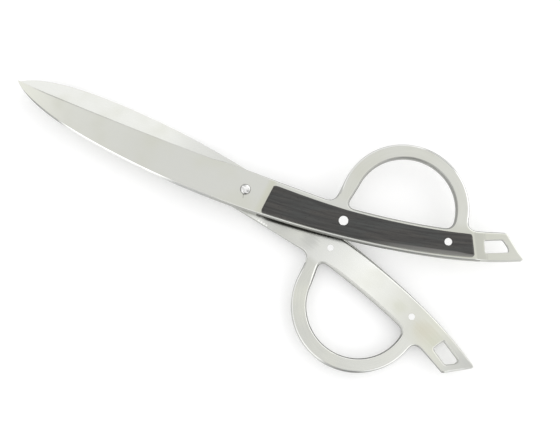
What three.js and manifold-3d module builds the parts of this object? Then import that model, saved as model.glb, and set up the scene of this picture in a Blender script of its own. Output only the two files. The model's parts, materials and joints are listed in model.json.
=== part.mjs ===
// Household scissors: two flat steel halves on one pivot rivet, each half with a finger bow,
// a slanted tail with a hanging hole, and a dark wood scale held by two rivets.
// Millimetres, +X from the blade tips to the handles, +Y to the front half's bow, +Z up.
// The origin is under the middle of the closed scissors, on the surface that they lie on.
import * as THREE from 'three';
import { mergeVertices } from 'three/addons/utils/BufferGeometryUtils.js';
import Module from 'manifold-3d';

// Blade, measured from the pivot
const BLADE_LENGTH = 106.5;
const BLADE_DEPTH = 10.5;
const BELLY_X = 42;
const BELLY_SWEEP = 25.6;
const TIP_SWEEP = 13.7;
const TIP_ANGLE = 40;
const HEEL_X = 12;
const HEEL_HEIGHT = 6.6;
const EDGE_HOLLOW = 0.5;
const EDGE_LAND = 0.3;
const EDGE_BEVEL = 0.9;
const PLATE_THICKNESS = 3.8;
const TIP_THICKNESS = 1.6;

// Ride, where the two halves bear on each other round the pivot
const RIDE_GAP = 0.1;
const RIDE_END = 9.5;
const RIDE_RAMP = 3;
const HANDLE_RELIEF = 0.5;

// Handle bar, whose inner edge runs from the blade's belly to the tip of the tail
const HANDLE_LENGTH = 112.5;
const HANDLE_RISE = 23.4;
const INNER_SWEEP = 44.2;
const TAIL_SWEEP = 44.6;
const TAIL_ANGLE = 30.6;
const SHANK_HEIGHT = 11.3;
const BAR_WIDTH_FRONT = 13;
const BAR_WIDTH_REAR = 12.1;
const EDGE_ROUND = 0.8;

// Finger bow
const BOW_X = 60.5;
const BOW_Y = 22;
const BOW_RADIUS = 26.2;
const BOW_WIDTH = 5.1;
const BOW_FILLET = 4;
const HOLE_CORNER = 4.5;

// Tail with its hanging hole
const TAIL_WIDTH = 11.9;
const TAIL_SLANT = 5.4;
const TAIL_TOP_ANGLE = 23.5;
const TAIL_FILLET = 5;
const TAIL_STEP = 0.9;
const TAIL_STEP_RIM = 1.2;
const TAIL_STEP_RAMP = 1.5;
const TAIL_HOLE_ANGLE = 28;
const TAIL_HOLE_START = 15.43;
const TAIL_HOLE_LENGTH = 9.4;
const TAIL_HOLE_WIDTH = 5.1;
const TAIL_HOLE_SLANT = 1.9;
const TAIL_HOLE_SQUARE = 1.8;
const TAIL_HOLE_RIM = 3.58;

// Wood scale
const SCALE_START = 9.8;
const SCALE_END = 94.2;
const SCALE_SLANT = 1.2;
const SCALE_THICKNESS = 2.2;
const SCALE_RIM_FRONT = 0.8;
const SCALE_RIM_REAR = 1.3;
const SHANK_MARGIN = 2.3;
const BAR_MARGIN = 1.6;
const SCALE_ROUND = 0.7;

// Scale rivets, placed by their foot on the inner edge and their distance from it
const RIVET_SHANK_RADIUS = 1.3;
const RIVET_HEAD_HEIGHT = 0.9;
const RIVET_CLEARANCE = 0.1;
const LARGE_RIVET_X = 42.4;
const LARGE_RIVET_INSET = 6.7;
const LARGE_RIVET_RADIUS = 1.95;
const SMALL_RIVET_X = 83.9;
const SMALL_RIVET_INSET = 6.15;
const SMALL_RIVET_RADIUS = 1.55;

// Pivot rivet, and the washer that its rear end is peened over
const PIVOT_RADIUS = 1.6;
const PIVOT_CLEARANCE = 0.1;
const DOME_RADIUS = 2.3;
const DOME_HEIGHT = 1.1;
const PEEN_RADIUS = 2.2;
const PEEN_HEIGHT = 0.7;
const WASHER_RADIUS = 3.4;
const WASHER_THICKNESS = 0.6;

// Facets
const CURVE_STEPS = 14;
const EDGE_STEPS = 2;
const ROUND_SIDES = 24;
const DOME_STEPS = 5;

// Levels above the plane where the halves meet
const INNER_FACE = RIDE_GAP / 2;
const HANDLE_FACE = INNER_FACE + HANDLE_RELIEF;
const OUTER_FACE = INNER_FACE + PLATE_THICKNESS;
const SCALE_FACE = OUTER_FACE + SCALE_THICKNESS;
const HEAD_SEAT = SCALE_FACE - RIVET_HEAD_HEIGHT;
const WASHER_FACE = OUTER_FACE + WASHER_THICKNESS;

const HALF_SPAN = BOW_Y + BOW_RADIUS + BLADE_DEPTH;
const HOLE_RADIUS = BOW_RADIUS - BOW_WIDTH;
const BOW_LEFT = BOW_X - BOW_RADIUS;
const HOLE_LEFT = BOW_X - HOLE_RADIUS;

const steel = { color: 0xc9cac4, metalness: 1, roughness: 0.34 };
const darkWood = { color: 0x3c3835, metalness: 0, roughness: 0.5 };
const brightRivet = { color: 0xf0f0ee, metalness: 1, roughness: 0.2 };
const polishedSteel = { color: 0xdcdcda, metalness: 1, roughness: 0.08 };

const wasm = await Module();
wasm.setup();

// Closed three.js geometry to a solid that can be joined and cut
function solidOf(geometry) {
  const bare = geometry.clone();
  bare.deleteAttribute('normal');
  bare.deleteAttribute('uv');
  const merged = mergeVertices(bare, 1e-5);
  return new wasm.Manifold(new wasm.Mesh({
    numProp: 3,
    vertProperties: new Float32Array(merged.attributes.position.array),
    triVerts: new Uint32Array(merged.index.array),
  }));
}

function geometryOf(solid) {
  const mesh = solid.getMesh();
  const geometry = new THREE.BufferGeometry();
  geometry.setAttribute('position', new THREE.BufferAttribute(mesh.vertProperties.slice(), 3));
  geometry.setIndex(new THREE.BufferAttribute(mesh.triVerts.slice(), 1));
  geometry.computeVertexNormals();
  return geometry;
}

function piece(name, solid, finish) {
  const mesh = new THREE.Mesh(geometryOf(solid), new THREE.MeshStandardMaterial(finish));
  mesh.name = name;
  return mesh;
}

function point(x, y) {
  return new THREE.Vector2(x, y);
}

function heading(degrees) {
  const angle = THREE.MathUtils.degToRad(degrees);
  return point(Math.cos(angle), Math.sin(angle));
}

function along(start, direction, distance) {
  return start.clone().addScaledVector(direction, distance);
}

// Flat plate between two levels, with square edges
function squarePlate(shape, low, high) {
  const plate = new THREE.ExtrudeGeometry(shape, {
    depth: high - low,
    bevelEnabled: false,
    curveSegments: CURVE_STEPS,
  });
  return plate.translate(0, 0, low);
}

// Flat plate between two levels, with its outer edges and the edges of its holes rounded
function roundedPlate(shape, low, high, radius) {
  const plate = new THREE.ExtrudeGeometry(shape, {
    depth: high - low - 2 * radius,
    bevelThickness: radius,
    bevelSize: radius,
    bevelOffset: -radius,
    bevelSegments: EDGE_STEPS,
    curveSegments: CURVE_STEPS,
  });
  return plate.translate(0, 0, low + radius);
}

// Prism with a side profile of (x, z) points, reaching halfWidth to both sides in Y
function sidePrism(profile, halfWidth) {
  const shape = new THREE.Shape(profile.map(([x, z]) => point(x, z)));
  const prism = new THREE.ExtrudeGeometry(shape, { depth: 2 * halfWidth, bevelEnabled: false });
  return prism.rotateX(Math.PI / 2).translate(0, halfWidth, 0);
}

// Round bore at a place, between two levels
function bore(place, radius, low, high) {
  const cylinder = new THREE.CylinderGeometry(radius, radius, high - low, ROUND_SIDES);
  cylinder.rotateX(Math.PI / 2);
  return solidOf(cylinder.translate(place.x, place.y, (low + high) / 2));
}

// Turned piece at a place, from a profile of (radius, z) points that rises from low to high
function turned(profile, place) {
  const lathe = new THREE.LatheGeometry(profile.map(([r, z]) => point(r, z)), ROUND_SIDES);
  return solidOf(lathe.rotateX(Math.PI / 2).translate(place.x, place.y, 0));
}

// Points of a low dome from its rim to its crown
function dome(radius, base, height) {
  const points = [[radius, base]];
  for (let i = 1; i < DOME_STEPS; i += 1) {
    const angle = (i / DOME_STEPS) * (Math.PI / 2);
    points.push([radius * Math.cos(angle), base + height * Math.sin(angle)]);
  }
  points.push([0, base + height]);
  return points;
}

// Value between low and high where a rising function passes zero
function rootOf(rising, low, high) {
  let a = low;
  let b = high;
  for (let i = 0; i < 60; i += 1) {
    const middle = (a + b) / 2;
    if (rising(middle) < 0) a = middle;
    else b = middle;
  }
  return (a + b) / 2;
}

// Spine and inner edge: one smooth sweep from the tip over the belly to the tip of the tail
const pivot = point(0, 0);
const tip = point(-BLADE_LENGTH, 0);
const belly = point(-BELLY_X, -BLADE_DEPTH);
const tailTip = point(HANDLE_LENGTH, HANDLE_RISE);
const tailDirection = heading(TAIL_ANGLE);
const tailNormal = heading(TAIL_ANGLE + 90);
const spine = new THREE.CubicBezierCurve(
  tip,
  along(tip, heading(-TIP_ANGLE), TIP_SWEEP),
  point(belly.x - BELLY_SWEEP, belly.y),
  belly,
);
const innerEdge = new THREE.CubicBezierCurve(
  belly,
  point(belly.x + INNER_SWEEP, belly.y),
  along(tailTip, tailDirection, -TAIL_SWEEP),
  tailTip,
);

// Place at a distance from the inner edge and square to it, with its foot at x
function fromInner(x, distance) {
  const t = rootOf((u) => innerEdge.getPoint(u).x - x, 0, 1);
  const tangent = innerEdge.getTangent(t);
  return along(innerEdge.getPoint(t), point(-tangent.y, tangent.x), distance);
}

// Upper edge of the shank: a straight line from the heel to the bow
const heel = point(-HEEL_X, HEEL_HEIGHT);
const shankSlope = (SHANK_HEIGHT - HEEL_HEIGHT) / (BOW_LEFT + HEEL_X);

function shankTop(x) {
  return HEEL_HEIGHT + shankSlope * (x + HEEL_X);
}

// Slightly hollow cutting edge from the heel to the tip
function drawCuttingEdge(path) {
  const middle = heel.clone().lerp(tip, 0.5);
  path.quadraticCurveTo(middle.x, middle.y - 2 * EDGE_HOLLOW, tip.x, tip.y);
}

// Bow circle, and where the top edge of the tail runs into it
const bowCentre = point(BOW_X, BOW_Y);
const tailHeel = along(along(tailTip, tailDirection, -TAIL_SLANT), tailNormal, TAIL_WIDTH);
const tailTop = heading(TAIL_TOP_ANGLE);
const tailTopLength = rootOf(
  (s) => BOW_RADIUS - along(tailHeel, tailTop, -s).distanceTo(bowCentre),
  0,
  tailHeel.distanceTo(bowCentre),
);
const tailRoot = along(tailHeel, tailTop, -tailTopLength);

function onBow(radius, angle) {
  return point(BOW_X + radius * Math.cos(angle), BOW_Y + radius * Math.sin(angle));
}

function bowAngle(place) {
  return Math.atan2(place.y - BOW_Y, place.x - BOW_X);
}

// Outline of one half
function outline() {
  const shape = new THREE.Shape();
  const fillet = along(tailRoot, tailTop, TAIL_FILLET);
  const bowStart = bowAngle(tailRoot) + TAIL_FILLET / BOW_RADIUS;
  const bowFoot = onBow(BOW_RADIUS, bowStart);
  const shankFoot = BOW_LEFT - BOW_FILLET;
  shape.moveTo(tip.x, tip.y);
  shape.bezierCurveTo(spine.v1.x, spine.v1.y, spine.v2.x, spine.v2.y, belly.x, belly.y);
  shape.bezierCurveTo(innerEdge.v1.x, innerEdge.v1.y, innerEdge.v2.x, innerEdge.v2.y, tailTip.x, tailTip.y);
  shape.lineTo(tailHeel.x, tailHeel.y);
  shape.lineTo(fillet.x, fillet.y);
  shape.quadraticCurveTo(tailRoot.x, tailRoot.y, bowFoot.x, bowFoot.y);
  shape.absarc(BOW_X, BOW_Y, BOW_RADIUS, bowStart, Math.PI, false);
  shape.lineTo(BOW_LEFT, SHANK_HEIGHT + BOW_FILLET);
  shape.quadraticCurveTo(BOW_LEFT, SHANK_HEIGHT, shankFoot, shankTop(shankFoot));
  shape.lineTo(heel.x, heel.y);
  drawCuttingEdge(shape);
  return shape;
}

// Top of the bar under the finger hole, whose width eases from front to rear
function barWidth(x) {
  const share = (x - HOLE_LEFT) / (2 * HOLE_RADIUS);
  return THREE.MathUtils.lerp(BAR_WIDTH_FRONT, BAR_WIDTH_REAR, share);
}

function barTop(x) {
  return fromInner(x, barWidth(x));
}

const holeFront = rootOf((x) => barTop(x).x - HOLE_LEFT, 0, HANDLE_LENGTH);
const holeRear = rootOf((x) => barTop(x).distanceTo(bowCentre) - HOLE_RADIUS, BOW_X, HANDLE_LENGTH);

// D-shaped finger hole: a straight front side, the top of the bar and the bow's inner arc
function fingerHole() {
  const frontCorner = barTop(holeFront);
  const rearCorner = barTop(holeRear);
  const arcStart = bowAngle(rearCorner) + HOLE_CORNER / HOLE_RADIUS;
  const arcFoot = onBow(HOLE_RADIUS, arcStart);
  const first = holeFront + HOLE_CORNER;
  const last = holeRear - HOLE_CORNER;
  const hole = new THREE.Path();
  hole.moveTo(HOLE_LEFT, frontCorner.y + HOLE_CORNER);
  hole.quadraticCurveTo(frontCorner.x, frontCorner.y, barTop(first).x, barTop(first).y);
  for (let i = 1; i <= CURVE_STEPS; i += 1) {
    const place = barTop(THREE.MathUtils.lerp(first, last, i / CURVE_STEPS));
    hole.lineTo(place.x, place.y);
  }
  hole.quadraticCurveTo(rearCorner.x, rearCorner.y, arcFoot.x, arcFoot.y);
  hole.absarc(BOW_X, BOW_Y, HOLE_RADIUS, arcStart, Math.PI, false);
  return hole;
}

// Hanging hole: an oblong whose outer far corner is cut off along the slanted end of the tail
function tailHole() {
  const lengthwise = heading(TAIL_HOLE_ANGLE);
  const crosswise = heading(TAIL_HOLE_ANGLE + 90);
  const low = along(along(tailTip, lengthwise, -TAIL_HOLE_START), crosswise, TAIL_HOLE_RIM);
  const high = along(low, crosswise, TAIL_HOLE_WIDTH);
  const far = along(low, lengthwise, TAIL_HOLE_LENGTH);
  return new THREE.Path([
    low,
    far,
    along(far, crosswise, TAIL_HOLE_SQUARE),
    along(high, lengthwise, TAIL_HOLE_LENGTH - TAIL_HOLE_SLANT),
    high,
  ]);
}

// Outline of the wood scale: a steel rim shows along both of its long edges
const scaleHeel = fromInner(SCALE_START, SCALE_RIM_FRONT);
const scaleToe = fromInner(SCALE_END, SCALE_RIM_REAR);
const scaleFront = point(scaleHeel.x, shankTop(scaleHeel.x) - SHANK_MARGIN);
const frontWidth = SCALE_RIM_FRONT + scaleFront.distanceTo(scaleHeel);

function scaleTop(x) {
  if (x > holeFront) return fromInner(x, barWidth(x) - BAR_MARGIN);
  const share = (x - SCALE_START) / (holeFront - SCALE_START);
  return fromInner(x, THREE.MathUtils.lerp(frontWidth, barWidth(holeFront) - BAR_MARGIN, share));
}

const scaleHigh = scaleTop(SCALE_END - SCALE_SLANT);

function scaleOutline() {
  const points = [];
  for (let i = 0; i <= CURVE_STEPS; i += 1) {
    const share = i / CURVE_STEPS;
    const rim = THREE.MathUtils.lerp(SCALE_RIM_FRONT, SCALE_RIM_REAR, share);
    points.push(fromInner(THREE.MathUtils.lerp(SCALE_START, SCALE_END, share), rim));
  }
  for (let i = CURVE_STEPS; i > 0; i -= 1) {
    points.push(scaleTop(THREE.MathUtils.lerp(SCALE_START, SCALE_END - SCALE_SLANT, i / CURVE_STEPS)));
  }
  points.push(scaleFront);
  return new THREE.Shape(points);
}

// Side view of blade and ride: flat inside, tapered outside, with a ramp up to the handle's inner face
function bladeProfile() {
  const taper = (PLATE_THICKNESS - TIP_THICKNESS) / (BLADE_LENGTH - HEEL_X);
  const beyond = BLADE_LENGTH + PLATE_THICKNESS;
  const rampEnd = RIDE_END + RIDE_RAMP;
  return sidePrism([
    [-beyond, INNER_FACE],
    [RIDE_END, INNER_FACE],
    [rampEnd, HANDLE_FACE],
    [rampEnd, OUTER_FACE],
    [-HEEL_X, OUTER_FACE],
    [-beyond, OUTER_FACE - taper * (beyond - HEEL_X)],
  ], HALF_SPAN);
}

// What is ground away above the cutting edge: it leans back over the blade from the edge's land
function edgeBevel() {
  const lean = EDGE_BEVEL / (PLATE_THICKNESS - EDGE_LAND);
  const shape = new THREE.Shape();
  shape.moveTo(heel.x, HALF_SPAN);
  shape.lineTo(heel.x, heel.y);
  drawCuttingEdge(shape);
  shape.lineTo(tip.x - BLADE_DEPTH, tip.y);
  shape.lineTo(tip.x - BLADE_DEPTH, HALF_SPAN);
  const cutter = squarePlate(shape, 0, PLATE_THICKNESS);
  cutter.applyMatrix4(new THREE.Matrix4().makeShear(0, 0, 0, 0, 0, -lean));
  return cutter.translate(0, 0, INNER_FACE + EDGE_LAND);
}

// Step down of the tail's outer face behind the end of the scale
function tailStep() {
  const across = scaleToe.clone().sub(scaleHigh);
  const middle = scaleToe.clone().lerp(scaleHigh, 0.5);
  const rampEnd = TAIL_STEP_RIM + TAIL_STEP_RAMP;
  const cutter = sidePrism([
    [TAIL_STEP_RIM, OUTER_FACE],
    [rampEnd, OUTER_FACE - TAIL_STEP],
    [HANDLE_LENGTH, OUTER_FACE - TAIL_STEP],
    [HANDLE_LENGTH, SCALE_FACE],
    [TAIL_STEP_RIM, SCALE_FACE],
  ], TAIL_WIDTH);
  cutter.rotateZ(Math.atan2(across.x, -across.y));
  return cutter.translate(middle.x, middle.y, 0);
}

const rivets = [
  { size: 'large', place: fromInner(LARGE_RIVET_X, LARGE_RIVET_INSET), head: LARGE_RIVET_RADIUS },
  { size: 'small', place: fromInner(SMALL_RIVET_X, SMALL_RIVET_INSET), head: SMALL_RIVET_RADIUS },
];

// One steel half: blade, ride, shank, bow and tail in one piece
function blade() {
  const handleShape = outline();
  handleShape.holes.push(fingerHole(), tailHole());
  const behindPivot = sidePrism([
    [0, 0],
    [HANDLE_LENGTH * 2, 0],
    [HANDLE_LENGTH * 2, SCALE_FACE],
    [0, SCALE_FACE],
  ], HALF_SPAN);
  const front = solidOf(squarePlate(outline(), INNER_FACE, OUTER_FACE))
    .intersect(solidOf(bladeProfile()))
    .subtract(solidOf(edgeBevel()));
  const handle = solidOf(roundedPlate(handleShape, HANDLE_FACE, OUTER_FACE, EDGE_ROUND))
    .intersect(solidOf(behindPivot))
    .subtract(solidOf(tailStep()));
  let half = front.add(handle).subtract(bore(pivot, PIVOT_RADIUS + PIVOT_CLEARANCE, 0, SCALE_FACE));
  rivets.forEach(({ place }) => {
    half = half.subtract(bore(place, RIVET_SHANK_RADIUS + RIVET_CLEARANCE, 0, SCALE_FACE));
  });
  return half;
}

// Wood scale: flat on the steel, rounded along its outer edges, bored and counterbored for its rivets
function scale() {
  const blank = solidOf(roundedPlate(scaleOutline(), OUTER_FACE - SCALE_ROUND, SCALE_FACE, SCALE_ROUND));
  const below = sidePrism([
    [-HANDLE_LENGTH, 0],
    [HANDLE_LENGTH, 0],
    [HANDLE_LENGTH, OUTER_FACE],
    [-HANDLE_LENGTH, OUTER_FACE],
  ], HALF_SPAN);
  let cut = blank.subtract(solidOf(below));
  rivets.forEach(({ place, head }) => {
    cut = cut.subtract(bore(place, RIVET_SHANK_RADIUS + RIVET_CLEARANCE, 0, SCALE_FACE));
    cut = cut.subtract(bore(place, head + RIVET_CLEARANCE, HEAD_SEAT, SCALE_FACE + RIVET_HEAD_HEIGHT));
  });
  return cut;
}

// Scale rivet: flush with the wood outside and with the steel inside
function scaleRivet({ place, head }) {
  return turned([
    [0, HANDLE_FACE],
    [RIVET_SHANK_RADIUS, HANDLE_FACE],
    [RIVET_SHANK_RADIUS, HEAD_SEAT],
    [head, HEAD_SEAT],
    [head, SCALE_FACE],
    [0, SCALE_FACE],
  ], place);
}

// One half with its scale and rivets
function halfGroup(side) {
  const half = new THREE.Group();
  half.add(piece(`${side}_blade`, blade(), steel));
  half.add(piece(`${side}_scale`, scale(), darkWood));
  rivets.forEach((rivet) => {
    half.add(piece(`${side}_rivet_${rivet.size}`, scaleRivet(rivet), brightRivet));
  });
  return half;
}

// Pivot rivet, drawn with its peened end up: its polished dome lies on the front half's outer face
function pivotRivet() {
  const headSeat = -OUTER_FACE - PIVOT_CLEARANCE;
  const crown = dome(DOME_RADIUS, -headSeat, DOME_HEIGHT).map(([r, z]) => [r, -z]).reverse();
  return turned([
    ...crown,
    [PIVOT_RADIUS, headSeat],
    [PIVOT_RADIUS, WASHER_FACE],
    ...dome(PEEN_RADIUS, WASHER_FACE, PEEN_HEIGHT),
  ], pivot);
}

function pivotWasher() {
  const hole = PIVOT_RADIUS + PIVOT_CLEARANCE;
  return turned([
    [hole, OUTER_FACE],
    [WASHER_RADIUS, OUTER_FACE],
    [WASHER_RADIUS, WASHER_FACE],
    [hole, WASHER_FACE],
    [hole, OUTER_FACE],
  ], pivot);
}

// The back half is the front half turned over about X, and it carries the pivot rivet
const frontHalf = halfGroup('front');
const backHalf = halfGroup('back');
backHalf.add(piece('pivot_rivet', pivotRivet(), polishedSteel));
backHalf.add(piece('pivot_washer', pivotWasher(), steel));
backHalf.rotation.x = Math.PI;

const scissors = new THREE.Group();
scissors.add(frontHalf, backHalf);
const extent = new THREE.Box3().setFromObject(scissors, true);
const middle = extent.getCenter(new THREE.Vector3());
scissors.position.set(-middle.x, -middle.y, -extent.min.z);

export default scissors;
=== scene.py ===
# %% [markdown]
# # Household scissors with dark wood scales
# Two flat steel halves cross on one pivot rivet. Each half is blade, shank, finger bow and tail
# in one piece, and a dark wood scale with two bright rivets lies on its outer face.
# The imported CAD model is loaded first. It gives the pivot's place, the bodies that the pieces ride on
# and the nodes that they replace.

# %% Load the imported frame
import json
import math

import bmesh
import bpy
from mathutils import Matrix, Vector
from mathutils.geometry import interpolate_bezier


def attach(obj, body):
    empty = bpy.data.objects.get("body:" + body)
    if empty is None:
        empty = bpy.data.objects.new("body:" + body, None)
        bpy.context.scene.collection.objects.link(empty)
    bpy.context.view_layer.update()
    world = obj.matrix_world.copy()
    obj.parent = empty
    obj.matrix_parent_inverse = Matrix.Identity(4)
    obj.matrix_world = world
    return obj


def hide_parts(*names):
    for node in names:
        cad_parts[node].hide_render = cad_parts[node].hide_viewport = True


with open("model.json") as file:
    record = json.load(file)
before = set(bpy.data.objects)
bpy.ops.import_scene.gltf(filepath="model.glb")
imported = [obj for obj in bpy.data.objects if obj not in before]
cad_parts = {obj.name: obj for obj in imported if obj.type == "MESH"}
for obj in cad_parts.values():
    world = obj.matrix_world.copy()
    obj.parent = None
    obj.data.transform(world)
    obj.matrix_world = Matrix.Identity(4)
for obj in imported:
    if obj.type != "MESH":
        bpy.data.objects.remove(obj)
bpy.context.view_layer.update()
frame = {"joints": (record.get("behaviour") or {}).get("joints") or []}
scene = bpy.context.scene

# %% [markdown]
# ## Camera
# The scissors were photographed from almost straight above, with the tips to the upper left.
# A camera could be aimed with a tracking constraint, but here its turn is written out as two plain
# rotations in radians, because the place and the angle were worked out together from the outline.

# %% Camera
MM = 0.001
CAMERA_TILT = math.radians(-11.5)
CAMERA_SPIN = -0.46051
CAMERA_OFFSET = Vector((13.936, -12.633, 346.317)) * MM
CAMERA_LENS = 54.64
pivot_place = Vector(frame["joints"][0]["pos_m"])
camera_turn = Matrix.Rotation(CAMERA_TILT, 3, "X") @ Matrix.Rotation(CAMERA_SPIN, 3, "Z")
camera_data = bpy.data.cameras.new("camera")
camera_data.lens = CAMERA_LENS
camera_data.sensor_width = 36
camera_data.sensor_fit = "HORIZONTAL"
camera = bpy.data.objects.new("camera", camera_data)
camera_home = Matrix.Translation(pivot_place + camera_turn.transposed() @ CAMERA_OFFSET)
camera.matrix_world = camera_home @ camera_turn.transposed().to_4x4()
scene.collection.objects.link(camera)
scene.camera = camera
print("camera at", [round(value, 3) for value in camera.matrix_world.translation])

# %% [markdown]
# ## Floor
# The scissors lie on a white sheet. One large square is enough for it, and the grid operator makes that.
# It lies a hair under the lowest piece, because two surfaces in one plane flicker in a render.

# %% Floor
FLOOR_HALF = 3.0
FLOOR_DROP = 0.00005


def link_object(name, mesh):
    made = bpy.data.objects.new(name, mesh)
    scene.collection.objects.link(made)
    return made


floor_bm = bmesh.new()
bmesh.ops.create_grid(floor_bm, x_segments=1, y_segments=1, size=FLOOR_HALF)
bmesh.ops.translate(floor_bm, vec=(0, 0, -FLOOR_DROP), verts=floor_bm.verts)
floor_mesh = bpy.data.meshes.new("floor")
floor_bm.to_mesh(floor_mesh)
floor_bm.free()
floor = link_object("floor", floor_mesh)
print("floor", 2 * FLOOR_HALF, "m across")

# %% [markdown]
# The real sheet is bright enough to lose its own texture, and only faint shadows stay in the bows and
# where the halves cross. A brighter sheet would also throw more light on the scissors. So this one is
# an ordinary white diffuse sheet, and only what the camera and the reflections see of it gets a little
# glow on top.

# %% White sheet
SHEET_WHITE = 0.8
FLOOR_GLOW = 0.245


def add_node(tree, kind, **values):
    node = tree.nodes.new(kind)
    for name, value in values.items():
        setattr(node, name, value)
    return node


def link(tree, source, target):
    tree.links.new(source, target)


def calc(tree, operation, *values):
    node = add_node(tree, "ShaderNodeMath", operation=operation)
    for socket, value in zip(node.inputs, values):
        if isinstance(value, (int, float)):
            socket.default_value = value
        else:
            link(tree, value, socket)
    return node.outputs[0]


def choose(tree, factor, first, second):
    node = add_node(tree, "ShaderNodeMixShader")
    link(tree, factor, node.inputs["Fac"])
    link(tree, first.outputs[0], node.inputs[1])
    link(tree, second.outputs[0], node.inputs[2])
    return node.outputs[0]


floor_finish = bpy.data.materials.new("white_sheet")
floor_finish.use_nodes = True
tree = floor_finish.node_tree
tree.nodes.clear()
sheet = add_node(tree, "ShaderNodeBsdfDiffuse")
sheet.inputs["Color"].default_value = (SHEET_WHITE, SHEET_WHITE, SHEET_WHITE, 1)
glow = add_node(tree, "ShaderNodeEmission")
glow.inputs["Strength"].default_value = FLOOR_GLOW
glowing = add_node(tree, "ShaderNodeAddShader")
link(tree, sheet.outputs[0], glowing.inputs[0])
link(tree, glow.outputs[0], glowing.inputs[1])
path = add_node(tree, "ShaderNodeLightPath")
mirrored = calc(tree, "MAXIMUM", path.outputs["Is Glossy Ray"], path.outputs["Is Transmission Ray"])
shown = calc(tree, "MAXIMUM", path.outputs["Is Camera Ray"], mirrored)
output = add_node(tree, "ShaderNodeOutputMaterial")
link(tree, choose(tree, shown, sheet, glowing), output.inputs["Surface"])
floor_mesh.materials.append(floor_finish)
print("white sheet glows by", FLOOR_GLOW)

# %% [markdown]
# ## Light
# The light is a tent: white overhead, brighter on the right, where its window is, and dark low down and
# on the near side, where it is open. A smaller bright patch, the glint, lies on the near left.
# Flat steel that faces up mirrors the plain white part, rounded edges towards the window or the glint
# get a white line, and those towards the opening a dark one. Area lamps would each have to be placed.
# A world with ramps over its directions gives the whole tent at once.

# %% Tent of light
TENT = 0.96
HORIZON = 0.35
WINDOW = 0.8
WINDOW_WAY = (0.896, 0.4445)
OPENING = 0.7
OPENING_WAY = (0.4445, -0.896)
GLINT = 0.7
GLINT_WAY = (-0.342, -0.94)


def ramp(tree, value, low, high, start=0.0, end=1.0):
    node = add_node(tree, "ShaderNodeMapRange", interpolation_type="SMOOTHSTEP")
    for name, number in (("From Min", low), ("From Max", high), ("To Min", start), ("To Max", end)):
        node.inputs[name].default_value = number
    link(tree, value, node.inputs["Value"])
    return node.outputs[0]


scene.view_settings.view_transform = "Standard"
world = bpy.data.worlds.new("light_tent")
scene.world = world
world.use_nodes = True
tree = world.node_tree
tree.nodes.clear()
look = add_node(tree, "ShaderNodeTexCoord")
ways = add_node(tree, "ShaderNodeSeparateXYZ")
link(tree, look.outputs["Generated"], ways.inputs[0])
height = ways.outputs["Z"]
flat_length = calc(tree, "SQRT", calc(tree, "SUBTRACT", 1.0001, calc(tree, "MULTIPLY", height, height)))


def patch(way, spread, heights, strength):
    part = calc(tree, "MULTIPLY", ways.outputs["X"], way[0])
    toward = calc(tree, "DIVIDE", calc(tree, "MULTIPLY_ADD", ways.outputs["Y"], way[1], part), flat_length)
    low, high = heights
    return calc(tree, "MULTIPLY", ramp(tree, height, high, low, 0.0, strength), ramp(tree, toward, *spread))


window = patch(WINDOW_WAY, (0.1, 0.6), (0.64, 0.84), WINDOW)
opening = patch(OPENING_WAY, (0.9, 0.985), (0.65, 0.9), OPENING)
glint = patch(GLINT_WAY, (0.86, 0.95), (0.7, 0.85), GLINT)
sides = calc(tree, "SUBTRACT", calc(tree, "ADD", window, TENT), calc(tree, "MULTIPLY", opening, TENT))
low_shade = ramp(tree, height, 0.02, 0.3, HORIZON, 1.0)
sky = calc(tree, "MULTIPLY", calc(tree, "ADD", sides, glint), low_shade)
tent = add_node(tree, "ShaderNodeBackground")
tent.inputs["Color"].default_value = (1, 1, 1, 1)
link(tree, sky, tent.inputs["Strength"])
print("tent", TENT, "overhead and", TENT + WINDOW, "in its window")

# %% [markdown]
# From low down the camera looks past the floor's edge, and there it should see plain white as well.
# A larger floor would only move its edge. A white backdrop in the world stands in for the tent where
# the camera looks, and in a narrow strip at the horizon for reflections too. Higher up the steel
# still mirrors the tent, which gives it its lines.

# %% Backdrop
BACKDROP_TOP = 0.03
backdrop = add_node(tree, "ShaderNodeBackground")
backdrop.inputs["Color"].default_value = (1, 1, 1, 1)
path = add_node(tree, "ShaderNodeLightPath")
mirrored = calc(tree, "MAXIMUM", path.outputs["Is Glossy Ray"], path.outputs["Is Transmission Ray"])
at_horizon = calc(tree, "MULTIPLY", mirrored, ramp(tree, height, BACKDROP_TOP, 0.0))
shown = calc(tree, "MAXIMUM", path.outputs["Is Camera Ray"], at_horizon)
output = add_node(tree, "ShaderNodeOutputWorld")
link(tree, choose(tree, shown, tent, backdrop), output.inputs["Surface"])
print("world", world.name, "has", len(tree.nodes), "nodes")

# %% [markdown]
# ## Outline of one steel half
# Each half is cut from one flat plate, so its outline is the main shape. It could be traced by hand
# with a curve object, but a few smooth sweeps and arcs with real sizes describe it exactly:
# the spine swings from the tip over the belly into the handle's inner edge, the tail ends on a slant,
# the bow is an arc, and a hollow cutting edge runs from the heel back to the tip.
# All lengths are millimetres from the pivot. Both halves share this outline, one of them turned over.

# %% Sweeps of the spine and the inner edge
def heading(degrees):
    angle = math.radians(degrees)
    return Vector((math.cos(angle), math.sin(angle)))


def sweep(start, first, second, end, steps):
    return interpolate_bezier(start, first, second, end, steps + 1)[:-1]


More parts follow.
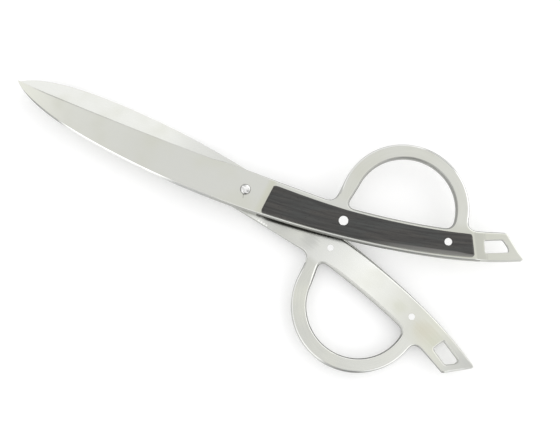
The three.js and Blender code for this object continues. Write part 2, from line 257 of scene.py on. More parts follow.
TIP = Vector((-106.5, 0))
BELLY = Vector((-42, -10.5))
TAIL_TIP = Vector((112.5, 23.4))
TAIL_RUN = heading(30.6)
TAIL_ACROSS = heading(120.6)
TIP_PULL = 13.7 * heading(-40)
BELLY_PULL = Vector((25.6, 0))
HANDLE_PULL = Vector((44.2, 0))
TAIL_PULL = 44.6 * TAIL_RUN
INNER_KNOTS = [BELLY, BELLY + HANDLE_PULL, TAIL_TIP - TAIL_PULL, TAIL_TIP]
spine = sweep(TIP, TIP + TIP_PULL, BELLY - BELLY_PULL, BELLY, 36)
inner_edge = sweep(*INNER_KNOTS, 64)
print("spine and inner edge:", len(spine) + len(inner_edge), "points")

# %% [markdown]
# Several shapes keep a set distance from the inner edge: the bar under the finger hole, the wood and
# the rivets. One helper finds the foot of such a place on the curve and steps off square to it.

# %% Places at a distance from the inner edge
def passes_zero(rising, low, high):
    for _ in range(40):
        middle = (low + high) / 2
        if rising(middle) < 0:
            low = middle
        else:
            high = middle
    return low


def on_inner_edge(share):
    a, b, c, d = INNER_KNOTS
    rest = 1 - share
    place = rest**3 * a + 3 * rest**2 * share * b + 3 * rest * share**2 * c + share**3 * d
    run = rest**2 * (b - a) + 2 * rest * share * (c - b) + share**2 * (d - c)
    return place, run.normalized()


def from_inner(x, distance):
    share = passes_zero(lambda value: on_inner_edge(value)[0].x - x, 0, 1)
    place, run = on_inner_edge(share)
    return place + distance * Vector((-run.y, run.x))


print("middle of the bar:", [round(value, 2) for value in from_inner(60, 6)])

# %% [markdown]
# The bow is a ring segment that grows out of the shank in front and runs into the tail behind, with a
# soft fillet at each end. Its circle gives both fillets their ends, so they stay smooth if it changes.

# %% Bow and shank
BOW_CENTRE = Vector((60.5, 22))
BOW_RADIUS = 26.2
BOW_LEFT = BOW_CENTRE.x - BOW_RADIUS
HEEL = Vector((-12, 6.6))
SHANK_HEIGHT = 11.3
BOW_FILLET = 4
TAIL_FILLET = 5
TAIL_SLANT = 5.4
TAIL_WIDTH = 11.9
TAIL_TOP = heading(23.5)


def bend(start, corner, end, steps):
    return sweep(start, start.lerp(corner, 2 / 3), end.lerp(corner, 2 / 3), end, steps)


def straight(start, end, steps):
    return [start.lerp(end, step / steps) for step in range(steps)]


def arc(centre, radius, start, end, steps):
    turns = [start + (end - start) * step / steps for step in range(steps)]
    return [centre + radius * heading(turn) for turn in turns]


def turn_of(place, centre):
    return math.degrees(math.atan2(place.y - centre.y, place.x - centre.x))


def shank_top(x):
    slope = (SHANK_HEIGHT - HEEL.y) / (BOW_LEFT - HEEL.x)
    return Vector((x, HEEL.y + slope * (x - HEEL.x)))


tail_heel = TAIL_TIP - TAIL_SLANT * TAIL_RUN + TAIL_WIDTH * TAIL_ACROSS
tail_length = passes_zero(lambda s: BOW_RADIUS - (tail_heel - s * TAIL_TOP - BOW_CENTRE).length, 0, 40)
tail_root = tail_heel - tail_length * TAIL_TOP
tail_foot = tail_root + TAIL_FILLET * TAIL_TOP
bow_start = turn_of(tail_root, BOW_CENTRE) + math.degrees(TAIL_FILLET / BOW_RADIUS)
bow_foot = BOW_CENTRE + BOW_RADIUS * heading(bow_start)
bow_side = BOW_CENTRE - Vector((BOW_RADIUS, 0))
bow_end = Vector((BOW_LEFT, SHANK_HEIGHT + BOW_FILLET))
shank_corner = Vector((BOW_LEFT, SHANK_HEIGHT))
shank_foot = shank_top(BOW_LEFT - BOW_FILLET)
bow_outer = arc(BOW_CENTRE, BOW_RADIUS, bow_start, 180, 60) + straight(bow_side, bow_end, 3)
shank_upper = bend(bow_end, shank_corner, shank_foot, 10) + straight(shank_foot, HEEL, 16)
print("bow starts at", round(bow_start, 1), "degrees")

# %% [markdown]
# The slanted tail ends in two corners, and a little rounding takes up a share of the sides of each.
# With the cutting edge the outline closes. Every point remembers its stretch, because the roundings
# and the finishes differ from one stretch to the next.

# %% Tail, cutting edge and the whole outline
TIP_ROUND = (0.9895, 0.107)
HEEL_ROUND = (0.94, 0.07)
EDGE_HOLLOW = 1.0
tip_foot = on_inner_edge(TIP_ROUND[0])[0]
end_start = TAIL_TIP.lerp(tail_heel, TIP_ROUND[1])
end_foot = TAIL_TIP.lerp(tail_heel, HEEL_ROUND[0])
top_foot = tail_heel.lerp(tail_foot, HEEL_ROUND[1])
tail_end = (
    bend(tip_foot, TAIL_TIP, end_start, 6)
    + straight(end_start, end_foot, 6)
    + bend(end_foot, tail_heel, top_foot, 6)
)
tail_upper = straight(top_foot, tail_foot, 3) + bend(tail_foot, tail_root, bow_foot, 10)
edge_middle = HEEL.lerp(TIP, 0.5) - Vector((0, EDGE_HOLLOW))
stretches = [
    ("spine", spine),
    ("inner edge", inner_edge),
    ("tail end", tail_end),
    ("tail upper", tail_upper),
    ("bow", bow_outer),
    ("shank", shank_upper),
    ("cutting edge", bend(HEEL, edge_middle, TIP, 48)),
]
half_rim = [place for _, points in stretches for place in points]
rim_names = [name for name, points in stretches for _ in points]
print("outline of a half:", len(half_rim), "points")

# %% [markdown]
# The finger hole is a D: the top of the bar, the bow's inner arc, and a front side that leans a little
# forward to its corner. The arc's centre lies slightly behind the bow's own, so the bow is widest in
# front. Holes are drawn the other way round, so that one helper later leans their walls into the steel.

# %% Finger hole
HOLE_RADIUS = 20.35
HOLE_CENTRE = BOW_CENTRE + Vector((0.4, 0))
HOLE_LEFT = HOLE_CENTRE.x - HOLE_RADIUS
FRONT_CORNER = 3.9
FRONT_REACH = 1.1
REAR_CORNER = 3.2
BAR_FRONT = 13
BAR_REAR = 12.1


def bar_width(x):
    share = (x - HOLE_LEFT) / (2 * HOLE_RADIUS)
    return BAR_FRONT + (BAR_REAR - BAR_FRONT) * share


def bar_top(x):
    return from_inner(x, bar_width(x))


corner_front = passes_zero(lambda x: bar_top(x).x - HOLE_LEFT + FRONT_REACH, 0, TAIL_TIP.x)
hole_rear = passes_zero(lambda x: (bar_top(x) - HOLE_CENTRE).length - HOLE_RADIUS, BOW_CENTRE.x, TAIL_TIP.x)
front_corner = bar_top(corner_front)
rear_corner = bar_top(hole_rear)
bar_start = corner_front + FRONT_CORNER
bar_run = hole_rear - REAR_CORNER - bar_start
arc_start = turn_of(rear_corner, HOLE_CENTRE) + math.degrees(REAR_CORNER / HOLE_RADIUS)
arc_foot = HOLE_CENTRE + HOLE_RADIUS * heading(arc_start)
arc_end = HOLE_CENTRE - Vector((HOLE_RADIUS, 0))
side_foot = front_corner + FRONT_CORNER * (arc_end - front_corner).normalized()
finger_hole = (
    bend(side_foot, front_corner, bar_top(bar_start), 10)
    + [bar_top(bar_start + bar_run * step / 20) for step in range(20)]
    + bend(bar_top(bar_start + bar_run), rear_corner, arc_foot, 10)
    + arc(HOLE_CENTRE, HOLE_RADIUS, arc_start, 180, 56)
    + straight(arc_end, side_foot, 3)
)[::-1]
print("finger hole:", len(finger_hole), "points")

# %% [markdown]
# The hanging hole in the tail is an oblong with one corner cut off and all corners softened. The pivot
# and the scale rivets pass through round bores. A Boolean could cut all of them from the plate, but it
# leaves ragged faces round each cut. As loops of points they get clean, rounded walls like the rim.

# %% Hanging hole and bores
HANG_RUN = heading(28)
HANG_ACROSS = heading(118)
HANG_LENGTH = 9.4
HANG_WIDTH = 5.1
HANG_TOP = 7.5
HANG_END = 1.8
HANG_CORNER = 0.85
HANG_BACK = 15.43
HANG_RISE = 3.58
PIVOT_BORE = 1.7
RIVET_BORE = 1.32
LARGE_RIVET = (42.4, 6.7)
SMALL_RIVET = (83.9, 6.15)


def soften(corners, cut, steps):
    points = []
    for index, corner in enumerate(corners):
        before = corners[index - 1]
        after = corners[(index + 1) % len(corners)]
        start = corner + cut * (before - corner).normalized()
        end = corner + cut * (after - corner).normalized()
        points += bend(start, corner, end, steps) + [end]
    return points


def circle(centre, radius, steps):
    return [centre + radius * heading(-360 * step / steps) for step in range(steps)]


hang_low = TAIL_TIP - HANG_BACK * HANG_RUN + HANG_RISE * HANG_ACROSS
hang_far = hang_low + HANG_LENGTH * HANG_RUN
hang_high = hang_low + HANG_WIDTH * HANG_ACROSS
hang_cut = hang_high + HANG_TOP * HANG_RUN
hang_corners = [hang_low, hang_far, hang_far + HANG_END * HANG_ACROSS, hang_cut, hang_high]
hanging_hole = soften(hang_corners, HANG_CORNER, 5)[::-1]
large_rivet = from_inner(*LARGE_RIVET)
small_rivet = from_inner(*SMALL_RIVET)
bores = [
    circle(Vector((0, 0)), PIVOT_BORE, 32),
    circle(large_rivet, RIVET_BORE, 32),
    circle(small_rivet, RIVET_BORE, 32),
]
print("hanging hole:", len(hanging_hole), "points, and", len(bores), "bores")

# %% [markdown]
# ## Steel halves
# A real half is stamped from plate and then ground and tumbled, so its edges are rounded, but the
# blade's edges stay crisp. A Bevel modifier would give one radius everywhere. Instead the outline is
# extruded ring by ring along a small section that can change from place to place: two roundings with a
# narrow straight land between them. So the rounding grows from the blade to the handle, and the cutting
# edge leans back. The first and last points of a section lie flat and hold the shading of the faces.

# %% Section of the edge
PLATE = 3.8
LAND = 0.3
SUPPORT = 0.3
QUARTER = [math.radians(18 * step) for step in range(6)]


def edge_section(inner_round, outer_round, lean=0, shrink=1):
    inner_round *= shrink
    outer_round *= shrink
    lean *= shrink
    support = SUPPORT * shrink
    section = [(inner_round + support, 0)]
    for turn in QUARTER:
        section.append((inner_round * (1 - math.sin(turn)), inner_round * (1 - math.cos(turn))))
    section.append((0, inner_round + LAND))
    for turn in QUARTER:
        out = lean + outer_round * (1 - math.cos(turn))
        section.append((out, PLATE - outer_round * (1 - math.sin(turn))))
    section.append((lean + outer_round + support, PLATE))
    return section


print("points of a section:", len(edge_section(1, 1)))

# %% [markdown]
# Along the outer rim the section shrinks at both tips, is crisp where the halves meet and softer where
# the fingers lie. Round the finger hole the inner rounding is wider beside the bar and on the front side.

# %% Sections along the rim and the finger hole
EDGE_ROUND = 0.22
SPINE_ROUND = 0.75
HANDLE_ROUND = 0.97
CRISP_ROUND = 0.05
INNER_ROUND = 0.8
EDGE_LEAN = 0.6
TIP_SHARE = 0.04
TIP_TAPER = 14
TAIL_TIP_CUT = 0.42
PALM_EXTRA = 0.6
TAIL_EXTRA = 0.25
HOLE_ROUND = 1.0
HOLE_OUTER_ROUND = 1.05
BAR_EXTRA = 0.6
SIDE_EXTRA = 0.5


def ease(value, low, high):
    share = min(max((value - low) / (high - low), 0), 1)
    return share * share * (3 - 2 * share)


def rim_section(place, name):
    from_tip = (place - TAIL_TIP).length
    from_heel = (place - tail_heel).length
    shrink = TIP_SHARE + (1 - TIP_SHARE) * ease(place.x, TIP.x, TIP.x + TIP_TAPER)
    shrink -= TAIL_TIP_CUT * (1 - ease(from_tip, 1.4, 4))
    blade_round = SPINE_ROUND if name in ("spine", "inner edge") else EDGE_ROUND
    outer_round = blade_round + (HANDLE_ROUND - blade_round) * ease(place.x, -4, 16)
    handle = ease(place.x, 26, 34) if name == "shank" else ease(place.x, 8, 15)
    inner_round = CRISP_ROUND + (INNER_ROUND - CRISP_ROUND) * handle
    if name == "inner edge":
        inner_round += PALM_EXTRA * (handle - ease(place.x, 60, 90))
    if name == "tail end":
        inner_round += TAIL_EXTRA * ease(from_tip, 1, 3.5) * ease(from_heel, 0.5, 2.5)
    lean = EDGE_LEAN * (1 - ease(place.x, -18, -12)) if name == "cutting edge" else 0
    return edge_section(inner_round, outer_round, lean, shrink)


def hole_section(place):
    beside_bar = ease(HOLE_RADIUS - (place - HOLE_CENTRE).length, -0.3, 4)
    front_side = ease(HOLE_LEFT - place.x, -0.2, 0.5)
    inner_round = HOLE_ROUND + BAR_EXTRA * beside_bar + SIDE_EXTRA * front_side
    return edge_section(inner_round, HOLE_OUTER_ROUND)


rim_sections = [rim_section(place, name) for place, name in zip(half_rim, rim_names)]
hole_sections = [hole_section(place) for place in finger_hole]
print("sections:", len(rim_sections), "on the rim and", len(hole_sections), "round the finger hole")

# %% [markdown]
# One helper extrudes any closed outline along such sections. It leans each corner along its miter,
# so a ring keeps its distance from the outline at a sharp tip as well as on a straight. Every vertex
# keeps the number of its place on the outline, with a thousand numbers for each loop. The two flat
# faces are then filled between the outer ring and the holes.

# %% Extrude outlines along their sections
LOOP_MARKS = 1000


def miters(points):
    leans = []
    for index, place in enumerate(points):
        before = (place - points[index - 1]).normalized()
        after = (points[(index + 1) % len(points)] - place).normalized()
        square = Vector((-before.y - after.y, before.x + after.x))
        leans.append(square * (2 / square.length_squared))
    return leans


def extrude_rings(bm, points, sections, mark):
    corner = bm.verts.layers.int.get("corner")
    leans = miters(points)
    ring = []
    for index, place in enumerate(points):
        out, high = sections[index][0]
        vertex = bm.verts.new((*(place + out * leans[index]), high))
        vertex[corner] = mark + index
        ring.append(vertex)
    edges = [bm.edges.new((ring[index - 1], ring[index])) for index in range(len(ring))]
    first = edges
    for step in range(1, len(sections[0])):
        made = bmesh.ops.extrude_edge_only(bm, edges=edges)["geom"]
        edges = [item for item in made if isinstance(item, bmesh.types.BMEdge)]
        for vertex in made:
            if isinstance(vertex, bmesh.types.BMVert):
                index = vertex[corner] - mark
                out, high = sections[index][step]
                vertex.co = (*(points[index] + out * leans[index]), high)
    return first, edges


def plate_with_holes(loops):
    bm = bmesh.new()
    bm.verts.layers.int.new("corner")
    low_edges = []
    high_edges = []
    for number, (points, sections) in enumerate(loops):
        first, last = extrude_rings(bm, points, sections, LOOP_MARKS * number)
        low_edges += first
        high_edges += last
    bmesh.ops.triangle_fill(bm, use_beauty=True, edges=low_edges, normal=(0, 0, -1))
    bmesh.ops.triangle_fill(bm, use_beauty=True, edges=high_edges, normal=(0, 0, 1))
    return bm


print("rings round a half:", len(rim_sections[0]))

# %% [markdown]
# The tail steps down behind the wood, so the wood's place comes next. Its four corners lie at small
# distances from the inner edge, the shank and the bar's top, and the step runs beside its rear end.

# %% Where the wood lies
SCALE_START = 9.8
SCALE_END = 94.2
FRONT_RIM = 0.8
REAR_RIM = 1.3
SHANK_RIM = 2.3
BAR_RIM = 1.6
scale_heel = from_inner(SCALE_START, FRONT_RIM)
scale_toe = from_inner(SCALE_END, REAR_RIM)
scale_front = shank_top(scale_heel.x) - Vector((0, SHANK_RIM))
front_width = FRONT_RIM + (scale_front - scale_heel).length
hole_front = passes_zero(lambda x: bar_top(x).x - HOLE_LEFT, 0, TAIL_TIP.x)


def scale_top(x):
    bar = bar_width(max(x, hole_front)) - BAR_RIM
    share = min((x - SCALE_START) / (hole_front - SCALE_START), 1)
    return from_inner(x, front_width + (bar - front_width) * share)


scale_high = scale_top(SCALE_END - 1.2)
step_line = scale_toe.lerp(scale_high, 0.5)
step_across = (scale_high - scale_toe).normalized()
step_run = Vector((step_across.y, -step_across.x))
print("tail steps down behind", [round(value, 2) for value in step_line])

# %% [markdown]
# The plate isn't flat all over. Inside, the two halves touch only round the pivot, and a ramp behind
# it lifts the handles off each other. Outside, the blade thins towards its tip, and the tail steps
# down. Two functions give the levels of both faces, and every vertex is moved to them later.

# %% Levels of the two faces
INNER_FACE = 0.05
HANDLE_FACE = 0.55
OUTER_FACE = 3.85
TIP_THINNING = 2.2
RAMP_START = 9.5
RAMP_END = 12.5
STEP_DEPTH = 0.9
STEP_LEVELS = [0.6, 5.4]


def inner_level(place):
    return INNER_FACE + (HANDLE_FACE - INNER_FACE) * ease(place.x, RAMP_START, RAMP_END)


def outer_level(place):
    thin = TIP_THINNING * max(HEEL.x - place.x, 0) / (HEEL.x - TIP.x)
    behind = (place.xy - step_line).dot(step_run)
    drop = min(max((behind - STEP_LEVELS[0]) / (STEP_LEVELS[1] - STEP_LEVELS[0]), 0), 1)
    if place.x < BOW_CENTRE.x:
        drop = 0
    return OUTER_FACE - thin - STEP_DEPTH * drop


print("handles lie", 2 * HANDLE_FACE, "mm apart")

# %% [markdown]
# The faces are satin outside and ground inside, but the edges of the real halves differ from stretch to
# stretch: bright where they were polished, dull where only the tumbling barrel reached, and softer on
# roundings that were filed. Under the front half's inner edge, where it lies over the back half, a
# near-black finish is painted shade in the narrow gap. Where one half gets a darker finish than the other
# on the same stretch, that difference is painted shade too, because both halves are the same steel.
# A paint layer could hold that. A small table is easier to read: for each stretch it says which half,
# between which upward leans of a face (1 faces up, 0 is a wall, -1 faces down), and which finish.
# The cutting edge's own upright land keeps the polish of the edge, so its row starts just above 0.

# %% Table of edge finishes
SATIN_SLOT, GROUND_SLOT, TUMBLED_SLOT, BRIGHT_SLOT, GAP_SHADE_SLOT, SOFT_SLOT = range(6)
FLAT = 0.97
ROUNDED = 0.75
JUST_ABOVE_WALL = 1e-12
HOLE_NAMES = ["finger hole", "hanging hole", "bore", "bore", "bore"]
EDGE_FINISHES = {
    "handle edge": [("both", -ROUNDED, ROUNDED, TUMBLED_SLOT)],
    # the first row is near-black painted shade under the front half's handle edge
    "gap shade edge": [("front", -2, 0.05, GAP_SHADE_SLOT), ("both", -ROUNDED, ROUNDED, TUMBLED_SLOT)],
    "tail edge": [
        ("front", 0, FLAT, SOFT_SLOT),
        ("both", -FLAT, -0.3, SOFT_SLOT),
        ("both", -ROUNDED, ROUNDED, TUMBLED_SLOT),
    ],
    "tail end": [("back", -0.5, 0.5, SOFT_SLOT)],
    "tail heel": [("back", -FLAT, FLAT, TUMBLED_SLOT)],
    "tail upper": [("both", -FLAT, -ROUNDED, SOFT_SLOT), ("both", -ROUNDED, ROUNDED, TUMBLED_SLOT)],
    "bow": [("both", -0.995, 0.995, BRIGHT_SLOT)],
    "shank": [("front", 0, ROUNDED, TUMBLED_SLOT), ("back", -ROUNDED, ROUNDED, SOFT_SLOT)],
    "cutting edge": [("both", JUST_ABOVE_WALL, FLAT, TUMBLED_SLOT)],
    "finger hole": [
        ("both", -FLAT, -0.3, SOFT_SLOT),
        ("front", -0.93, 0.93, TUMBLED_SLOT),
        ("back", -ROUNDED, ROUNDED, TUMBLED_SLOT),
    ],
    "hanging hole": [
        ("back", -FLAT, FLAT, SOFT_SLOT),
        ("front", -0.3, 0.3, TUMBLED_SLOT),
        ("front", -FLAT, FLAT, SOFT_SLOT),
    ],
    "bore": [("both", -ROUNDED, ROUNDED, TUMBLED_SLOT)],
}
print("stretches with finishes of their own:", len(EDGE_FINISHES))

# %% [markdown]
# Each face of the rim finds its stretch by the number that its vertices carry. What the table doesn't
# name is bright on its rounding. The triangles that fill the flat sides are satin or ground.

# %% Sort the faces by finish
HANDLE_START = -14
GAP_SHADE_START = 8
GAP_SHADE_END = 60
TAIL_START = 95
HEEL_REACH = 1.3


def stretch_of(mark):
    if mark >= LOOP_MARKS:
        return HOLE_NAMES[mark // LOOP_MARKS - 1]
    name = rim_names[mark]
    place = half_rim[mark]
    if name == "tail end" and (place - tail_heel).length < HEEL_REACH:
        return "tail heel"
    if name != "inner edge":
        return name
    if place.x > TAIL_START:
        return "tail edge"
    # this stretch of the inner edge gets the painted gap shade on the front half
    if GAP_SHADE_START < place.x < GAP_SHADE_END:
        return "gap shade edge"
    return "handle edge" if place.x > HANDLE_START else "spine"


def finish_of(stretch, side, up):
    for half, low, high, slot in EDGE_FINISHES.get(stretch, []):
        if half in (side, "both") and low <= up < high:
            return slot
    if abs(up) < FLAT:
        return BRIGHT_SLOT
    return GROUND_SLOT if up < 0 else SATIN_SLOT


def sort_finishes(bm, side):
    corner = bm.verts.layers.int.get("corner")
    bmesh.ops.recalc_face_normals(bm, faces=bm.faces)
    for face in bm.faces:
        on_rim = len(face.verts) == 4
        stretch = stretch_of(min(vertex[corner] for vertex in face.verts)) if on_rim else "flat side"
        face.material_index = finish_of(stretch, side, face.normal.z)


print("stretch in the middle of the rim:", stretch_of(len(half_rim) // 2))

# %% [markdown]
# Now a half can be built: rings, flat sides and finishes first, then cuts across the plate that give
# the ramp, the heel and the tail's step their own vertices, and last each vertex goes to its level.
# Subdividing the whole plate would give vertices there too, but thousands of needless ones as well.

# %% Build a steel half
RAMP_STEP = 0.5
BESIDE_CUT = 0.4
ramp_cuts = [RAMP_START + RAMP_STEP * step for step in range(7)]
ramp_cuts = [RAMP_START - BESIDE_CUT, *ramp_cuts, RAMP_END + BESIDE_CUT]


def cut_across(bm, place, run):
    everything = bm.verts[:] + bm.edges[:] + bm.faces[:]
    point = (place.x, place.y, 0)
    bmesh.ops.bisect_plane(bm, geom=everything, dist=0.0001, plane_co=point, plane_no=(run.x, run.y, 0))


def steel_half_bm(side):
    hang_section = edge_section(1.0, 0.4)
    bore_section = [(SUPPORT, 0), (0, 0), (0, PLATE), (SUPPORT, PLATE)]
    loops = [(half_rim, rim_sections), (finger_hole, hole_sections)]
    loops.append((hanging_hole, [hang_section] * len(hanging_hole)))
    loops += [(hole, [bore_section] * len(hole)) for hole in bores]
    bm = plate_with_holes(loops)
    sort_finishes(bm, side)
    for x in (*ramp_cuts, HEEL.x):
        cut_across(bm, Vector((x, 0)), Vector((1, 0)))
    for level in STEP_LEVELS:
        for beside in (-0.3, 0, 0.3):
            cut_across(bm, step_line + (level + beside) * step_run, step_run)
    for vertex in bm.verts:
        if vertex.co.z < PLATE / 2:
            vertex.co.z += inner_level(vertex.co)
        else:
            vertex.co.z += outer_level(vertex.co) - PLATE
    return bm


print("cuts across a half:", len(ramp_cuts) + 1 + 3 * len(STEP_LEVELS))

# %% [markdown]
# Every piece is finished the same way: turned over for the back half, scaled to metres, moved to the
# pivot's place, its faces pointed outwards, and given smooth shading that breaks at real corners.
# It then rides on its half and stands in for its CAD node.

# %% Finish a piece
SHARP_ANGLE = math.radians(26)


def finish_piece(bm, name, side):
    if side == "back":
        bmesh.ops.rotate(bm, verts=bm.verts, cent=(0, 0, 0), matrix=Matrix.Rotation(math.pi, 3, "X"))
    bmesh.ops.scale(bm, vec=(MM, MM, MM), verts=bm.verts)
    bmesh.ops.translate(bm, vec=pivot_place, verts=bm.verts)
    bmesh.ops.recalc_face_normals(bm, faces=bm.faces)
    mesh = bpy.data.meshes.new(name)
    bm.to_mesh(mesh)
    bm.free()
    mesh.shade_smooth()
    mesh.set_sharp_from_angle(angle=SHARP_ANGLE)
    piece = link_object(name, mesh)
    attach(piece, side + "_half")
    return piece


steel_halves = {}
for side in ("front", "back"):
    half = finish_piece(steel_half_bm(side), side + "_steel", side)
    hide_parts(side + "_blade")
    steel_halves[side] = half
    print(half.name, len(half.data.polygons), "faces")

# %% [markdown]
# ## Wood scales
# The scales are thin slabs of very dark wood, glued and riveted to the outer faces, with their upper
# edges rounded by sanding. The outline follows the inner edge at a small distance, so a steel rim
# shows all round. The long edge that lies in the palm is worn rounder towards the rear.
# The same ring extrusion makes the slab, with square lower edges and round upper ones.

# %% Outline and sections of a scale
SCALE_FACE = 6.05
WOOD = SCALE_FACE - OUTER_FACE
WOOD_ROUND = 0.75
PALM_RUN = (10.8, 93.2)
PALM_RIM = (0.81, 1.29)
BAR_RUN = (92.1, 14.0)
RIM_STEPS = 40
WEAR_START = (46, 74)
ROUNDER_END = (86, 92.5)
WORN_WIDER = 0.85
WORN_DEEPER = 0.45


def between(ends, share):
    return ends[0] + (ends[1] - ends[0]) * share


def scale_rim():
    shares = [step / RIM_STEPS for step in range(RIM_STEPS + 1)]
    low = [from_inner(between(PALM_RUN, share), between(PALM_RIM, share)) for share in shares]
    high = [scale_top(between(BAR_RUN, share)) for share in shares]
    rear = bend(low[-1], scale_toe, scale_toe.lerp(scale_high, 0.15), 6)
    rear_top = bend(scale_toe.lerp(scale_high, 0.87), scale_high, high[0], 6)
    front_top = bend(high[-1], scale_front, scale_front.lerp(scale_heel, 0.08), 6)
    front_low = bend(scale_front.lerp(scale_heel, 0.86), scale_heel, low[0], 6)
    return low[:-1] + rear + rear_top + high[:-1] + front_top + front_low, len(low)


def wood_section(wide, deep):
    section = [(SUPPORT, 0), (0, 0), (0, 0.4)]
    for turn in QUARTER:
        section.append((wide * (1 - math.cos(turn)), WOOD - deep * (1 - math.sin(turn))))
    section.append((wide + SUPPORT, WOOD))
    return section


wood_rim, palm_points = scale_rim()
palm_share = []
wood_sections = []
for index, place in enumerate(wood_rim):
    share = ease(place.x, *WEAR_START) * (1 - ease(index, palm_points - 2, palm_points + 7))
    rounder = share * (1 - ease(place.x, *ROUNDER_END))
    wide = WOOD_ROUND + WORN_WIDER * rounder
    deep = WOOD_ROUND + WORN_DEEPER * rounder
    palm_share.append(share)
    wood_sections.append(wood_section(wide, deep))
print("outline of a scale:", len(wood_rim), "points")

# %% [markdown]
# The worn edge is painted paler too, partly for wear and partly as painted sheen on its rounding. An
# attribute on its vertices holds how strongly at each place, and the wood finish reads it later. The
# rivets' heads are sunk into stepped bores, which are loops like any other hole.

# %% Wood scales
HEAD_SEAT = 1.3
LARGE_HEAD = 1.95
SMALL_HEAD = 1.55
PIN_BORE = 1.34
HEAD_CLEARANCE = 0.04
BORE_CHAMFER = 0.06


def head_bore(centre, head):
    wall = head + HEAD_CLEARANCE
    inward = wall - PIN_BORE
    section = [(-inward, 0), (-inward, HEAD_SEAT), (0, HEAD_SEAT)]
    section += [(0, WOOD - BORE_CHAMFER), (BORE_CHAMFER, WOOD)]
    points = circle(centre, wall, 40)
    return points, [section] * len(points)


def mark_wear(slab):
    corner = slab.verts.layers.int.get("corner")
    wear_and_sheen = slab.verts.layers.float.new("wear_and_sheen")
    for vertex in slab.verts:
        if vertex[corner] < len(palm_share) and 0.2 < vertex.co.z < WOOD - 0.001:
            deeper = min((WOOD - vertex.co.z) / 1.2, 1)
            vertex[wear_and_sheen] = palm_share[vertex[corner]] * (0.6 + 0.4 * deeper)


wood_scales = []
for side in ("front", "back"):
    slab_loops = [(wood_rim, wood_sections)]
    slab_loops.append(head_bore(large_rivet, LARGE_HEAD))
    slab_loops.append(head_bore(small_rivet, SMALL_HEAD))
    slab = plate_with_holes(slab_loops)
    mark_wear(slab)
    bmesh.ops.translate(slab, vec=(0, 0, OUTER_FACE), verts=slab.verts)
    wood = finish_piece(slab, side + "_wood", side)
    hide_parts(side + "_scale")
    wood_scales.append(wood)
    print(wood.name, len(wood.data.polygons), "faces")

# %% [markdown]
# ## Rivets and pivot
# The scale rivets are bright pins with flat heads, filed flush with the wood. They are turned parts.
# A cylinder with a bevel would do for one, but a profile of radius and height that is spun round its
# own axis also gives the step under the head and the barely crowned face, and serves the pivot as well.

# %% Scale rivets
PIN_RADIUS = 1.31
PIN_BREAK = 0.02
SEAT_GAP = 0.02
HEAD_BREAK = 0.1
HEAD_CROWN = 0.02


def turned_bm(profile, centre):
    bm = bmesh.new()
    points = [bm.verts.new((centre.x + radius, centre.y, high)) for radius, high in profile]
    edges = [bm.edges.new(pair) for pair in zip(points, points[1:])]
    middle = (centre.x, centre.y, 0)
    bmesh.ops.spin(bm, geom=points + edges, cent=middle, axis=(0, 0, 1), angle=math.tau,
                   steps=48, use_merge=True)
    bmesh.ops.remove_doubles(bm, verts=bm.verts, dist=0.0005)
    return bm


def rivet_profile(head):
    seat = OUTER_FACE + HEAD_SEAT + SEAT_GAP
    return [
        (0, HANDLE_FACE),
        (PIN_RADIUS - PIN_BREAK, HANDLE_FACE),
        (PIN_RADIUS, HANDLE_FACE + PIN_BREAK),
        (PIN_RADIUS, seat),
        (head, seat),
        (head, SCALE_FACE - HEAD_BREAK),
        (head - HEAD_BREAK, SCALE_FACE - HEAD_CROWN),
        (head * 0.6, SCALE_FACE - HEAD_CROWN / 4),
        (0, SCALE_FACE),
    ]


rivets = []
for side in ("front", "back"):
    for size, centre, head in (("large", large_rivet, LARGE_HEAD), ("small", small_rivet, SMALL_HEAD)):
        pin = finish_piece(turned_bm(rivet_profile(head), centre), f"{side}_{size}_pin", side)
        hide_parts(f"{side}_rivet_{size}")
        rivets.append(pin)
print("scale rivets:", [pin.name for pin in rivets])

# %% [markdown]
# The pivot is one rivet with a polished dome in front, and its rear end is spread over a washer. Both
# are spun too. They belong to the back half, which is built facing up and turned over at the end, so the
# dome's profile goes downwards here.

# %% Pivot rivet and its washer
DOME_RADIUS = 2.15
DOME_RISE = 0.8
DOME_SEAT = OUTER_FACE + 0.1
DOME_WALL = 0.15
DOME_BREAK = 0.05
PIVOT_RADIUS = 1.6
PEENED_RADIUS = 2.2
PEENED_RISE = 0.64
PEENED_WALL = 0.06
WASHER_RADIUS = 3.4
WASHER_FACE = OUTER_FACE + 0.6
UNDER_BREAK = 0.1
WASHER_BREAK = 0.15
BORE_BREAK = 0.05


def dome_profile(radius, base, rise, steps):
    turns = [math.pi / 2 * step / steps for step in range(steps + 1)]
    return [(radius * math.cos(turn), base + rise * math.sin(turn)) for turn in turns]


dome_points = dome_profile(DOME_RADIUS, DOME_SEAT + DOME_WALL, DOME_RISE, 12)
pivot_profile = (
    [(radius, -high) for radius, high in dome_points[::-1]]
    + [(DOME_RADIUS, -DOME_SEAT - DOME_BREAK), (DOME_RADIUS - DOME_BREAK, -DOME_SEAT)]
    + [(PIVOT_RADIUS, -DOME_SEAT), (PIVOT_RADIUS, WASHER_FACE)]
    + dome_profile(PEENED_RADIUS, WASHER_FACE + PEENED_WALL, PEENED_RISE, 8)
)
pivot_pin = finish_piece(turned_bm(pivot_profile, Vector((0, 0))), "pivot_pin", "back")
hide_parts("pivot_rivet")
washer_profile = [
    (PIVOT_BORE, OUTER_FACE),
    (WASHER_RADIUS - UNDER_BREAK, OUTER_FACE),
    (WASHER_RADIUS, OUTER_FACE + UNDER_BREAK),
    (WASHER_RADIUS, WASHER_FACE - WASHER_BREAK),
    (WASHER_RADIUS - WASHER_BREAK, WASHER_FACE),
    (PIVOT_BORE + BORE_BREAK, WASHER_FACE),
    (PIVOT_BORE, WASHER_FACE - BORE_BREAK),
    (PIVOT_BORE, OUTER_FACE),
]
washer = finish_piece(turned_bm(washer_profile, Vector((0, 0))), "pivot_ring", "back")
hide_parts("pivot_washer")
print("pivot:", pivot_pin.name, "and", washer.name)

